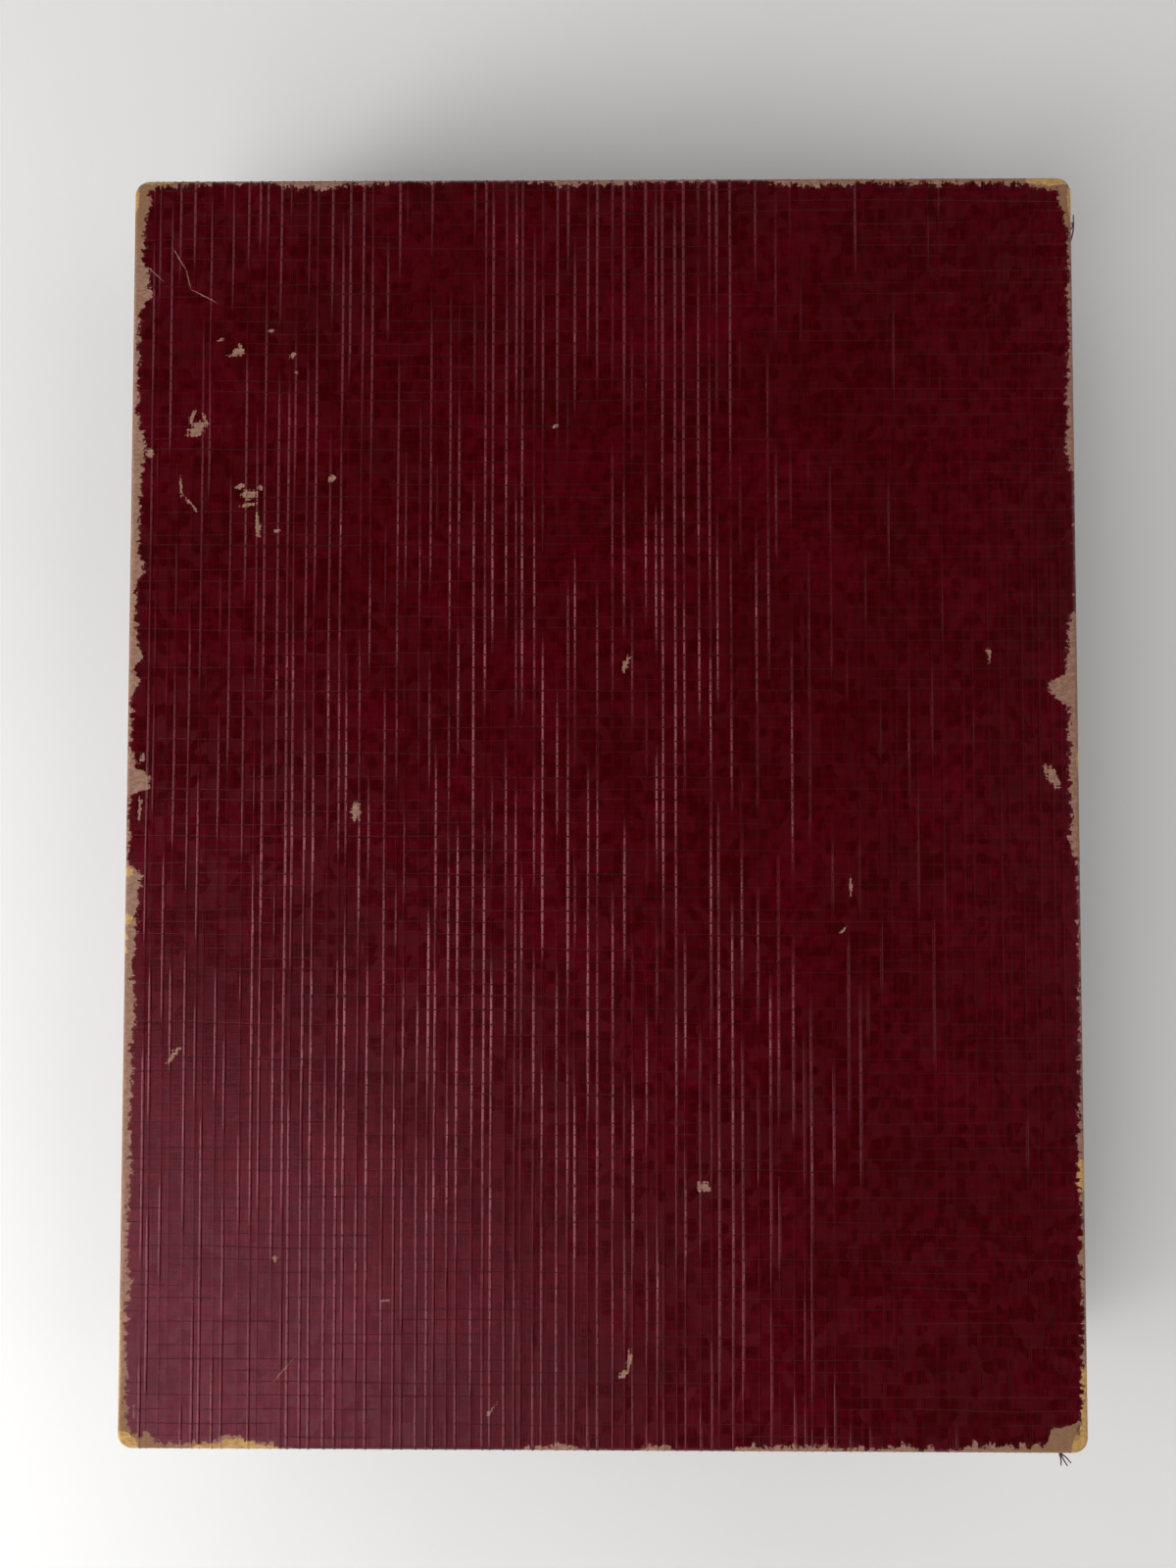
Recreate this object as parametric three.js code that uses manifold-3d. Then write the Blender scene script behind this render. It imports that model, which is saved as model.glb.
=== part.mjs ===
import * as THREE from "three";
import { mergeVertices } from "three/addons/utils/BufferGeometryUtils.js";
import Module from "manifold-3d";

// A bible in its box: a paper-covered strawboard tray, a lift-off lid over it, and a
// hardback bible that lies in the tray with its spine to the left.
// Millimetres, +X to the fore edge, +Y to the head of the book, +Z up.
// The origin is on the table, under the middle of the box.
// The box is made round the book: each size outside follows from the one inside it.

const wasm = await Module();
wasm.setup();

// The book's case, measured over its covering
const COVER_WIDTH = 165;
const COVER_HEIGHT = 225;
const CASE_BOARD = 2;
const LEATHERCLOTH = 0.4;
const BOARD_CORNER = 6;
const CLOTH_TURN_IN = 12;
const SQUARE = 3; // how far the boards stand past the pages
const JOINT = 7; // from the pages' shoulder to the board
const GROOVE_DEPTH = 1.5;
const SPINE_INLAY = 0.8;
const HOLLOW = 0.8; // air behind the spine inlay

// The pages
const BLOCK_THICKNESS = 24.5;
const SPINE_ROUND = 4; // rise of the rounded spine, and hollow of the fore edge
const PAGE_CORNER = 5;
const ENDPAPER = 0.2;
const LEAF_AIR = 0.3; // between pastedown and flyleaf
const SPINE_LINING = 0.4;
const HEADBAND_RADIUS = 0.9;

// The box's board, paper and corner tape
const STRAWBOARD = 1.6;
const BOX_PAPER = 0.25;
const CORNER_TAPE = 0.15;
const GLUE = 0.05;
const BOX_CORNER = 2.8; // vertical edges of the lid, over the paper
const TRAY_CORNER = 1.4;
const EDGE_ROUND = 1.2; // the lid's top edge, over the paper
const TRAY_EDGE_ROUND = 0.8;
const SEAM = 0.25; // slit where two folded walls meet
const PAPER_TURN_IN = 12;
const PAPER_TURN_UNDER = 14;
const TAPE_REACH = 11; // along each wall from the corner
const SHEET_MARGIN = 3; // bare border round the sheet under the tray

// How the pieces fit
const BOOK_PLAY = 2.1; // each side of the book in the tray
const LID_PLAY = 0.8; // each side of the tray in the lid
const HEADROOM = 1.2;
const REST_GAP = 0.3; // between pieces that lie on one another
const LID_DEPTH = 24;

// The ribs embossed in the lid's paper
const RIB_HEIGHT = 0.1;
const RIB_WIDTH = 0.6;
const RIB_CREST = 0.2;
const RIB_PITCH = 2.06;
const RIB_MARGIN = 2.2; // flat border where the lid's edges are rubbed smooth

// How far the paper is worn off the board at each top corner of the lid
const WORN_CORNERS = [
  { x: -1, y: 1, alongEnd: 6.5, alongSide: 4.5, inward: 1.3, down: 2.2 },
  { x: 1, y: 1, alongEnd: 8.2, alongSide: 5.5, inward: 1.8, down: 2.2 },
  { x: -1, y: -1, alongEnd: 5, alongSide: 9, inward: 1.6, down: 2.4 },
  { x: 1, y: -1, alongEnd: 5.5, alongSide: 14, inward: 1.8, down: 3 },
];

const CORNER_STEPS = 5;
const EDGE_STEPS = 4;
const ARC_STEPS = 24;
const OVERRUN = 1; // how far a cutter runs past what it cuts

// Sizes that follow from those above
const paperGap = GLUE + CORNER_TAPE + GLUE;
const paperBuild = BOX_PAPER + paperGap;
const coverBuild =
  LEATHERCLOTH + GLUE + CASE_BOARD + GLUE + LEATHERCLOTH + GLUE + ENDPAPER + LEAF_AIR + ENDPAPER + GLUE;
const bookThickness = BLOCK_THICKNESS + 2 * coverBuild;

const trayInner = { width: COVER_WIDTH + 2 * BOOK_PLAY, length: COVER_HEIGHT + 2 * BOOK_PLAY };
const trayWall = STRAWBOARD + paperBuild;
const tray = { width: trayInner.width + 2 * trayWall, length: trayInner.length + 2 * trayWall };
const lidWall = BOX_PAPER + GLUE + STRAWBOARD + paperBuild + RIB_HEIGHT;
const lid = {
  width: tray.width + 2 * (LID_PLAY + lidWall),
  length: tray.length + 2 * (LID_PLAY + lidWall),
};
const lidSheet = shrunk(lid, RIB_HEIGHT);

const trayPaperBottom = BOX_PAPER + GLUE;
const trayBoardBottom = trayPaperBottom + paperBuild;
const trayFloor = trayBoardBottom + STRAWBOARD;
const bookBottom = trayFloor + REST_GAP;
const lidCeiling = bookBottom + bookThickness + HEADROOM;
const trayRim = lidCeiling - REST_GAP;
const lidTop = lidCeiling + STRAWBOARD + paperBuild + RIB_HEIGHT;

function shrunk(outline, inset) {
  return { width: outline.width - 2 * inset, length: outline.length - 2 * inset };
}

// Geometry helpers

function toSolid(geometry) {
  const bare = new THREE.BufferGeometry();
  bare.setAttribute("position", geometry.getAttribute("position"));
  if (geometry.index) bare.setIndex(geometry.index);
  const merged = mergeVertices(bare, 1e-4);
  return new wasm.Manifold(
    new wasm.Mesh({
      numProp: 3,
      vertProperties: new Float32Array(merged.attributes.position.array),
      triVerts: new Uint32Array(merged.index.array),
    }),
  );
}

function toGeometry(solid) {
  const { vertProperties, triVerts } = solid.getMesh();
  const geometry = new THREE.BufferGeometry();
  geometry.setAttribute("position", new THREE.BufferAttribute(vertProperties, 3));
  geometry.setIndex(new THREE.BufferAttribute(triVerts, 1));
  const faceted = geometry.toNonIndexed();
  faceted.computeVertexNormals();
  return faceted;
}

// A rounded rectangle at height z, anticlockwise seen from above.
function ring(width, length, radius, z) {
  const points = [];
  const r = Math.max(radius, 0.05);
  for (let quarter = 0; quarter < 4; quarter++) {
    const sideX = quarter === 0 || quarter === 3 ? 1 : -1;
    const sideY = quarter < 2 ? 1 : -1;
    for (let step = 0; step <= CORNER_STEPS; step++) {
      const angle = (Math.PI / 2) * (quarter + step / CORNER_STEPS);
      points.push([
        sideX * (width / 2 - r) + r * Math.cos(angle),
        sideY * (length / 2 - r) + r * Math.sin(angle),
        z,
      ]);
    }
  }
  return points;
}

// A solid through rings of equal count. Open lofts get a cap at each end, and a
// looped loft joins its last ring to its first.
function loft(rings, looped = false) {
  const count = rings[0].length;
  const index = [];
  const spans = looped ? rings.length : rings.length - 1;
  for (let k = 0; k < spans; k++) {
    const low = k * count;
    const high = ((k + 1) % rings.length) * count;
    for (let i = 0; i < count; i++) {
      const j = (i + 1) % count;
      index.push(low + i, low + j, high + j, low + i, high + j, high + i);
    }
  }
  if (!looped) {
    const last = (rings.length - 1) * count;
    for (let i = 1; i < count - 1; i++) {
      index.push(0, i + 1, i, last, last + i, last + i + 1);
    }
  }
  const geometry = new THREE.BufferGeometry();
  geometry.setAttribute("position", new THREE.Float32BufferAttribute(rings.flat(2), 3));
  geometry.setIndex(index);
  return toSolid(geometry);
}

// Turns a profile of [inset from the outline, height] into rings round a rounded box.
function profileRings(outline, radius, profile) {
  return profile.map(([inset, z]) =>
    ring(outline.width - 2 * inset, outline.length - 2 * inset, radius - inset, z),
  );
}

// A quarter round in a profile, from the side face up to the top face.
function roundedEdge(inset, top, radius) {
  return Array.from({ length: EDGE_STEPS + 1 }, (_, step) => {
    const angle = ((Math.PI / 2) * step) / EDGE_STEPS;
    return [
      inset + radius * (1 - Math.cos(angle)),
      top - radius * (1 - Math.sin(angle)),
    ];
  });
}

function block(x0, x1, y0, y1, z0, z1) {
  const geometry = new THREE.BoxGeometry(x1 - x0, y1 - y0, z1 - z0);
  geometry.translate((x0 + x1) / 2, (y0 + y1) / 2, (z0 + z1) / 2);
  return toSolid(geometry);
}

// A section in X and Y, extruded up from one height to another.
function alongZ(points, bottom, top) {
  const shape = new THREE.Shape(points.map(([x, y]) => new THREE.Vector2(x, y)));
  const geometry = new THREE.ExtrudeGeometry(shape, { depth: top - bottom, bevelEnabled: false });
  geometry.translate(0, 0, bottom);
  return toSolid(geometry);
}

// A section in X and Z, extruded along Y about its middle.
function alongY(points, length, middle = 0) {
  const shape = new THREE.Shape(points.map(([x, z]) => new THREE.Vector2(x, z)));
  const geometry = new THREE.ExtrudeGeometry(shape, { depth: length, bevelEnabled: false });
  geometry.rotateX(Math.PI / 2);
  geometry.translate(0, middle + length / 2, 0);
  return toSolid(geometry);
}

// A plate in plan from x0 to x1, with its two corners at x1 rounded.
function plate(x0, x1, length, radius, z0, z1) {
  const shape = new THREE.Shape();
  shape.moveTo(x0, -length / 2);
  shape.lineTo(x1 - radius, -length / 2);
  shape.absarc(x1 - radius, -length / 2 + radius, radius, -Math.PI / 2, 0, false);
  shape.absarc(x1 - radius, length / 2 - radius, radius, 0, Math.PI / 2, false);
  shape.lineTo(x0, length / 2);
  const geometry = new THREE.ExtrudeGeometry(shape, {
    depth: z1 - z0,
    bevelEnabled: false,
    curveSegments: CORNER_STEPS + 1,
  });
  geometry.translate(0, 0, z0);
  return toSolid(geometry);
}

// The outline of a sheet of even thickness whose middle follows a path in X and Z.
function sheetSection(path, thickness) {
  const sides = [[], []];
  path.forEach(([x, z], i) => {
    const [ax, az] = path[Math.max(i - 1, 0)];
    const [bx, bz] = path[Math.min(i + 1, path.length - 1)];
    const before = new THREE.Vector2(x - ax, z - az).normalize();
    const after = new THREE.Vector2(bx - x, bz - z).normalize();
    const along = before.add(after).normalize();
    const reference = i > 0 ? new THREE.Vector2(x - ax, z - az).normalize() : along;
    const miter = thickness / 2 / Math.max(along.dot(reference), 0.5);
    sides[0].push([x - along.y * miter, z + along.x * miter]);
    sides[1].push([x + along.y * miter, z - along.x * miter]);
  });
  return [...sides[0], ...sides[1].reverse()];
}

function arcPath(centreX, radius, from, to, steps = ARC_STEPS) {
  return Array.from({ length: steps + 1 }, (_, step) => {
    const angle = from + ((to - from) * step) / steps;
    return [centreX - radius * Math.cos(angle), radius * Math.sin(angle)];
  });
}

function part(name, solid, colour, roughness) {
  const material = new THREE.MeshStandardMaterial({ color: colour, roughness, metalness: 0 });
  const mesh = new THREE.Mesh(toGeometry(solid), material);
  mesh.name = name;
  return mesh;
}

const MAROON = 0x5a0a1c;
const STRAW = 0xb0905a;
const TAPE = 0x4a2420;
const BUFF = 0xb9a884;
const BLACK_CLOTH = 0x17130f;
const PAGE_RED = 0x8f2a22;
const IVORY = 0xe6dcc0;

// The embossing: ribs at uneven distances, worked out the same way for each face
function ribPlaces(span) {
  const places = [];
  let place = -span / 2 + RIB_PITCH;
  for (let i = 0; place < span / 2 - RIB_PITCH / 2; i++) {
    places.push(place);
    place += RIB_PITCH * (0.55 + 0.9 * ((i * 0.618034) % 1));
  }
  return places;
}

// A comb of ribs across the span, standing on a strip sunk halfway into the sheet
function ribComb(span, crest) {
  const sunk = BOX_PAPER / 2;
  const points = [[span / 2, -sunk], [-span / 2, -sunk], [-span / 2, -sunk / 2]];
  for (const place of ribPlaces(span)) {
    points.push([place - RIB_WIDTH / 2, -sunk / 2], [place - RIB_WIDTH / 2, 0]);
    if (crest > 0) points.push([place - crest / 2, RIB_HEIGHT], [place + crest / 2, RIB_HEIGHT]);
    else points.push([place, RIB_HEIGHT]);
    points.push([place + RIB_WIDTH / 2, 0], [place + RIB_WIDTH / 2, -sunk / 2]);
  }
  points.push([span / 2, -sunk / 2]);
  return points;
}

// The ribs on a box's four walls, sharper than the panel's: upright on the ends, level
// along the sides
function wallRibs(sheet, bottom, top) {
  const across = ribComb(sheet.width - 2 * RIB_MARGIN, 0);
  const up = ribComb(top - bottom, 0);
  const middle = (top + bottom) / 2;
  return [-1, 1].flatMap((end) => [
    alongZ(across.map(([x, out]) => [x, end * (sheet.length / 2 + out)]), bottom, top),
    alongY(
      up.map(([z, out]) => [end * (sheet.width / 2 + out), z + middle]),
      sheet.length - 2 * RIB_MARGIN,
    ),
  ]);
}

// A folded board box, open at the rim. Its walls are one piece with the panel and are slit
// at the corners, where the end walls butt against the side walls.
function foldedBoard(outer, radius, edgeRadius, depth) {
  const inner = shrunk(outer, STRAWBOARD);
  const rings = profileRings(outer, radius, [
    [STRAWBOARD, depth - STRAWBOARD],
    [STRAWBOARD, 0],
    [0, 0],
    ...roundedEdge(0, depth, edgeRadius),
  ]);
  let board = loft(rings);
  for (const x of [-1, 1]) {
    for (const y of [-1, 1]) {
      const seamX = (x * inner.width) / 2;
      const ends = [(y * inner.length) / 2 - y * SEAM, (y * outer.length) / 2 + y * OVERRUN];
      board = board.subtract(
        block(
          seamX - SEAM / 2,
          seamX + SEAM / 2,
          Math.min(...ends),
          Math.max(...ends),
          -OVERRUN,
          depth - STRAWBOARD,
        ),
      );
    }
  }
  return board;
}

// The four strips of tape that hold a box's corners, between board and paper.
function cornerTapes(paperOutline, radius, bottom, top) {
  const outside = BOX_PAPER + GLUE;
  const inside = outside + CORNER_TAPE;
  const sleeve = loft(
    profileRings(paperOutline, radius, [
      [inside, bottom],
      [outside, bottom],
      [outside, top],
      [inside, top],
    ]),
    true,
  );
  const corners = [[-1, 1], [1, 1], [1, -1], [-1, -1]];
  return corners.map(([x, y]) => {
    const endX = (x * paperOutline.width) / 2;
    const endY = (y * paperOutline.length) / 2;
    const xs = [endX + x * OVERRUN, endX - x * TAPE_REACH].sort((a, b) => a - b);
    const ys = [endY + y * OVERRUN, endY - y * TAPE_REACH].sort((a, b) => a - b);
    return sleeve.intersect(block(...xs, ...ys, bottom - OVERRUN, top + OVERRUN));
  });
}

// The lid, in its own frame with z = 0 at its rim

const lidSheetTop = LID_DEPTH - RIB_HEIGHT;
const lidBoardTop = lidSheetTop - paperBuild;

function lidBoard() {
  const depth = lidBoardTop - paperBuild;
  const outline = shrunk(lidSheet, paperBuild);
  return foldedBoard(outline, BOX_CORNER - paperBuild, EDGE_ROUND - paperBuild, depth);
}

function lidPaper() {
  const turnIn = paperBuild + STRAWBOARD + GLUE;
  let paper = loft(
    profileRings(lidSheet, BOX_CORNER, [
      ...roundedEdge(BOX_PAPER, lidSheetTop - BOX_PAPER, EDGE_ROUND - BOX_PAPER).reverse(),
      [BOX_PAPER, BOX_PAPER],
      [turnIn, BOX_PAPER],
      [turnIn, PAPER_TURN_IN],
      [turnIn + BOX_PAPER, PAPER_TURN_IN],
      [turnIn + BOX_PAPER, 0],
      [0, 0],
      ...roundedEdge(0, lidSheetTop, EDGE_ROUND),
    ]),
  );
  const panelSection = ribComb(lidSheet.width - 2 * RIB_MARGIN, RIB_CREST);
  const panelRibs = panelSection.map(([x, z]) => [x, z + lidSheetTop]);
  paper = paper.add(alongY(panelRibs, lidSheet.length - 2 * RIB_MARGIN));
  for (const ribs of wallRibs(lidSheet, RIB_MARGIN, lidSheetTop - RIB_MARGIN)) {
    paper = paper.add(ribs);
  }
  for (const { x, y, alongEnd, alongSide, inward, down } of WORN_CORNERS) {
    for (const reach of [[alongEnd, inward, down], [inward, alongSide, down]]) {
      const worn = new THREE.SphereGeometry(1, 16, 10);
      worn.scale(...reach);
      worn.translate((x * lidSheet.width) / 2, (y * lidSheet.length) / 2, lidSheetTop);
      paper = paper.subtract(toSolid(worn));
    }
  }
  return paper;
}

function makeLid() {
  const group = new THREE.Group();
  const board = part("lid_board", lidBoard(), STRAW, 0.95);
  board.position.z = paperBuild;
  group.add(board, part("lid_wrap", lidPaper(), MAROON, 0.5));
  const tapeTop = lidBoardTop - EDGE_ROUND;
  cornerTapes(lidSheet, BOX_CORNER, paperBuild, tapeTop).forEach((tape, i) => {
    group.add(part(`lid_corner_tape_${i + 1}`, tape, TAPE, 0.8));
  });
  group.position.z = lidTop - LID_DEPTH;
  return group;
}

// The tray, in the box's own frame

function trayBoard() {
  const outline = shrunk(tray, paperBuild);
  const depth = trayRim - paperBuild - trayBoardBottom;
  return foldedBoard(outline, TRAY_CORNER - paperBuild, TRAY_EDGE_ROUND - paperBuild, depth);
}

// The quarter round at a foot, from the underside out and up to the side face
function roundedFoot(inset, bottom, radius) {
  return roundedEdge(inset, -bottom, radius)
    .map(([x, z]) => [x, -z])
    .reverse();
}

// One strip of paper round the walls, turned under the floor and in over the rim
function trayPaper() {
  const turnIn = paperBuild + STRAWBOARD + GLUE;
  const under = trayPaperBottom;
  return loft(
    profileRings(tray, TRAY_CORNER, [
      [PAPER_TURN_UNDER, under],
      ...roundedFoot(0, under, TRAY_EDGE_ROUND),
      [0, trayRim],
      [turnIn + BOX_PAPER, trayRim],
      [turnIn + BOX_PAPER, trayRim - PAPER_TURN_IN],
      [turnIn, trayRim - PAPER_TURN_IN],
      [turnIn, trayRim - BOX_PAPER],
      [BOX_PAPER, trayRim - BOX_PAPER],
      ...roundedFoot(BOX_PAPER, under + BOX_PAPER, TRAY_EDGE_ROUND - BOX_PAPER).reverse(),
      [PAPER_TURN_UNDER, under + BOX_PAPER],
    ]),
    true,
  );
}

function trayBottomSheet() {
  const inset = SHEET_MARGIN;
  return loft(profileRings(tray, SHEET_MARGIN, [[inset, 0], [inset, BOX_PAPER]]));
}

function makeTray() {
  const group = new THREE.Group();
  const board = part("tray_board", trayBoard(), STRAW, 0.95);
  board.rotation.x = Math.PI;
  board.position.z = trayRim - paperBuild;
  group.add(
    board,
    part("tray_wrap", trayPaper(), MAROON, 0.5),
    part("tray_bottom_sheet", trayBottomSheet(), BUFF, 0.9),
  );
  const tapeBottom = trayBoardBottom + TRAY_EDGE_ROUND;
  cornerTapes(tray, TRAY_CORNER, tapeBottom, trayRim - paperBuild).forEach((tape, i) => {
    group.add(part(`tray_corner_tape_${i + 1}`, tape, TAPE, 0.8));
  });
  return group;
}

// The bible, in its own frame with z = 0 halfway through the pages

const halfBook = bookThickness / 2;
const halfBlock = BLOCK_THICKNESS / 2;
const blockLength = COVER_HEIGHT - 2 * SQUARE;
const boardLength = COVER_HEIGHT - 2 * (LEATHERCLOTH + GLUE);

// The spine's layers are arcs about one centre.
const blockRadius = (halfBlock ** 2 + SPINE_ROUND ** 2) / (2 * SPINE_ROUND);
const blockAngle = Math.asin(halfBlock / blockRadius);
const inlayRadius = blockRadius + GLUE + SPINE_LINING + HOLLOW;
const clothRadius = inlayRadius + SPINE_INLAY + GLUE;
const spineCentre = clothRadius + LEATHERCLOTH - COVER_WIDTH / 2;
const shoulder = spineCentre - blockRadius + SPINE_ROUND;
const pagesFore = COVER_WIDTH / 2 - SQUARE;

const boardStart = shoulder + JOINT;
const boardFore = COVER_WIDTH / 2 - LEATHERCLOTH - GLUE;
const boardOuter = halfBook - LEATHERCLOTH - GLUE;
const boardInner = boardOuter - CASE_BOARD;
const clothInner = boardInner - GLUE - LEATHERCLOTH;

// Heights from low to high on the front, or the same on the back, below the middle
function onSide(side, low, high) {
  return side > 0 ? [low, high] : [-high, -low];
}

function pagesPlan(height) {
  const start = spineCentre - blockRadius - OVERRUN;
  return plate(start, pagesFore, blockLength, PAGE_CORNER, -height, height);
}

function textBlock() {
  const leafWidth = pagesFore - shoulder;
  const section = [
    ...arcPath(spineCentre, blockRadius, blockAngle, -blockAngle),
    ...arcPath(spineCentre + leafWidth, blockRadius, -blockAngle, blockAngle),
  ];
  return alongY(section, COVER_HEIGHT).intersect(pagesPlan(halfBook));
}

// One folded sheet: the pastedown inside the board and the flyleaf on the pages
function endpaper(side) {
  const pastedown = clothInner - GLUE - ENDPAPER / 2;
  const flyleaf = halfBlock + GLUE + ENDPAPER / 2;
  const foldRadius = (pastedown - flyleaf) / 2;
  const foldX = shoulder + foldRadius + ENDPAPER;
  const fold = arcPath(foldX, foldRadius, Math.PI / 2, -Math.PI / 2, 6).map(([x, z]) => [
    x,
    z + flyleaf + foldRadius,
  ]);
  const path = [[pagesFore + OVERRUN, pastedown], ...fold, [pagesFore + OVERRUN, flyleaf]];
  const section = sheetSection(path.map(([x, z]) => [x, side * z]), ENDPAPER);
  return alongY(section, COVER_HEIGHT).intersect(pagesPlan(halfBook));
}

function caseBoard(side) {
  const corner = BOARD_CORNER - LEATHERCLOTH - GLUE;
  const heights = onSide(side, boardInner, boardOuter);
  return plate(boardStart, boardFore, boardLength, corner, ...heights);
}

function spineArc(radius, thickness, reach, length, middle = 0) {
  const path = arcPath(spineCentre, radius + thickness / 2, -reach, reach);
  return alongY(sheetSection(path, thickness), length, middle);
}

// The covering over one board: its outside, its edges and the margin turned in
function boardCovering(side) {
  const outside = plate(
    boardStart,
    COVER_WIDTH / 2,
    COVER_HEIGHT,
    BOARD_CORNER,
    ...onSide(side, clothInner, halfBook),
  );
  const pocket = plate(
    boardStart - OVERRUN,
    boardFore + GLUE,
    boardLength + 2 * GLUE,
    BOARD_CORNER - LEATHERCLOTH,
    ...onSide(side, clothInner + LEATHERCLOTH, halfBook - LEATHERCLOTH),
  );
  const opening = plate(
    boardStart - OVERRUN,
    COVER_WIDTH / 2 - CLOTH_TURN_IN,
    COVER_HEIGHT - 2 * CLOTH_TURN_IN,
    PAGE_CORNER,
    ...onSide(side, clothInner - OVERRUN, boardOuter),
  );
  return outside.subtract(pocket).subtract(opening);
}

// The covering across the spine and down into the grooves of both joints
function spineCovering() {
  const middle = halfBook - LEATHERCLOTH / 2;
  const radius = clothRadius + LEATHERCLOTH / 2;
  const reach = Math.asin(middle / radius);
  const spineEdge = spineCentre - radius * Math.cos(reach);
  const steps = 10;
  const groove = Array.from({ length: steps }, (_, i) => {
    const along = (i + 1) / steps;
    const dip = (1 - Math.cos(2 * Math.PI * along)) / 2;
    return [spineEdge + along * (boardStart - spineEdge), middle - GROOVE_DEPTH * dip];
  });
  const front = [...groove, [boardStart + OVERRUN, middle]];
  const back = front.map(([x, z]) => [x, -z]).reverse();
  const path = [...back, ...arcPath(spineCentre, radius, -reach, reach), ...front];
  return alongY(sheetSection(path, LEATHERCLOTH), COVER_HEIGHT);
}

const inlayReach = Math.asin((halfBlock + CASE_BOARD) / (inlayRadius + SPINE_INLAY));

// The covering turned in over the head or tail of the spine inlay
function spineTurnIn(end) {
  const innerRadius = inlayRadius - GLUE - LEATHERCLOTH;
  const lipThickness = clothRadius + LEATHERCLOTH / 2 - innerRadius;
  const edge = (end * COVER_HEIGHT) / 2;
  const flapMiddle = edge - (end * CLOTH_TURN_IN) / 2;
  const lipMiddle = edge - (end * LEATHERCLOTH) / 2;
  const flap = spineArc(innerRadius, LEATHERCLOTH, inlayReach, CLOTH_TURN_IN, flapMiddle);
  const lip = spineArc(innerRadius, lipThickness, inlayReach, LEATHERCLOTH, lipMiddle);
  return flap.add(lip);
}

function caseCovering() {
  return spineCovering()
    .add(boardCovering(1))
    .add(boardCovering(-1))
    .add(spineTurnIn(1))
    .add(spineTurnIn(-1));
}

// A corded band against the pages at the head (end = 1) or tail (end = -1) of the spine
function headband(end) {
  const radius = blockRadius - HEADBAND_RADIUS;
  const y = end * (blockLength / 2 + GLUE + HEADBAND_RADIUS);
  const reach = blockAngle - HEADBAND_RADIUS / blockRadius;
  const path = arcPath(spineCentre, radius, -reach, reach, 12);
  const section = new THREE.Shape().absarc(0, 0, HEADBAND_RADIUS, 0, 2 * Math.PI, false);
  const geometry = new THREE.ExtrudeGeometry(section, {
    steps: 12,
    curveSegments: 8,
    extrudePath: new THREE.CatmullRomCurve3(path.map(([x, z]) => new THREE.Vector3(x, y, z))),
  });
  return toSolid(geometry);
}

function makeBible() {
  const group = new THREE.Group();
  group.add(
    part("bible_text_block", textBlock(), PAGE_RED, 0.8),
    part("bible_front_endpaper", endpaper(1), IVORY, 0.9),
    part("bible_back_endpaper", endpaper(-1), IVORY, 0.9),
    part("bible_front_board", caseBoard(1), STRAW, 0.95),
    part("bible_back_board", caseBoard(-1), STRAW, 0.95),
    part("bible_spine_inlay", spineArc(inlayRadius, SPINE_INLAY, inlayReach, boardLength), STRAW, 0.95),
    part(
      "bible_spine_lining",
      spineArc(blockRadius + GLUE, SPINE_LINING, blockAngle, blockLength),
      IVORY,
      0.95,
    ),
    part("bible_case_covering", caseCovering(), BLACK_CLOTH, 0.55),
    part("bible_headband", headband(1), IVORY, 0.8),
    part("bible_tailband", headband(-1), IVORY, 0.8),
  );
  group.position.z = bookBottom + halfBook;
  return group;
}

const boxedBible = new THREE.Group();
boxedBible.add(makeTray(), makeBible(), makeLid());

export default boxedBible;
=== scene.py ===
import math

import bmesh
import bpy
import numpy as np
from mathutils import Matrix, Vector, noise


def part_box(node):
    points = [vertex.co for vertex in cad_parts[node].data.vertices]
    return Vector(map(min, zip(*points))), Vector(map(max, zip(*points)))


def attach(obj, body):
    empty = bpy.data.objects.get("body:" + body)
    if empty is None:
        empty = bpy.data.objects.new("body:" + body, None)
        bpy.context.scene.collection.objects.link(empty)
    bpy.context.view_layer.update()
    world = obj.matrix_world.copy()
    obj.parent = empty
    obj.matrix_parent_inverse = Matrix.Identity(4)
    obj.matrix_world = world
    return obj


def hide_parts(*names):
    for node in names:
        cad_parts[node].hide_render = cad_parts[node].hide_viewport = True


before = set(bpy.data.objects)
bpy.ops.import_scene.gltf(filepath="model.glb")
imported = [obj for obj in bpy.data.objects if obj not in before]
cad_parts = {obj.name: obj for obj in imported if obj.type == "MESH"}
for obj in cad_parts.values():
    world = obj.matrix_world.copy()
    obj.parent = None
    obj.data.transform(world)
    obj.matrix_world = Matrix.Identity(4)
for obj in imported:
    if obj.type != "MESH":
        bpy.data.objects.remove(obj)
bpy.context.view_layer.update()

# A bible in a paper-covered box with a lift-off lid, seen from above on a pale table.
# Metres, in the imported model's frame: +X to the book's fore edge, +Y to its head, +Z up.
MM = 0.001

# The covering papers and the board under them
PAPER = 0.25 * MM
GLUE = 0.05 * MM
BOARD = 1.6 * MM
LID_CORNER = 2.8 * MM
LID_EDGE_ROUND = 1.2 * MM
CORNER_SEGMENTS = 6
EDGE_SEGMENTS = 4
TURN_IN = 12 * MM

# How far apart the coverings are cut across their ribs, so that a rib can fade along its length
ROW = 3 * MM
TRAY_ROW = 12 * MM

# The embossed ribs: their size and mean pitch, then how the distance between two varies: its
# least share of the pitch, what is added to it at most, and the step that mixes the additions
RIB_HEIGHT = 0.1 * MM
RIB_WIDTH = 0.6 * MM
RIB_CREST = 0.2 * MM
RIB_PITCH = 2.06 * MM
RIB_MARGIN = 2.2 * MM
LEAST_PITCH = 0.55
ADDED_PITCH = 0.9
GOLDEN_SHARE = 0.618034

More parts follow.
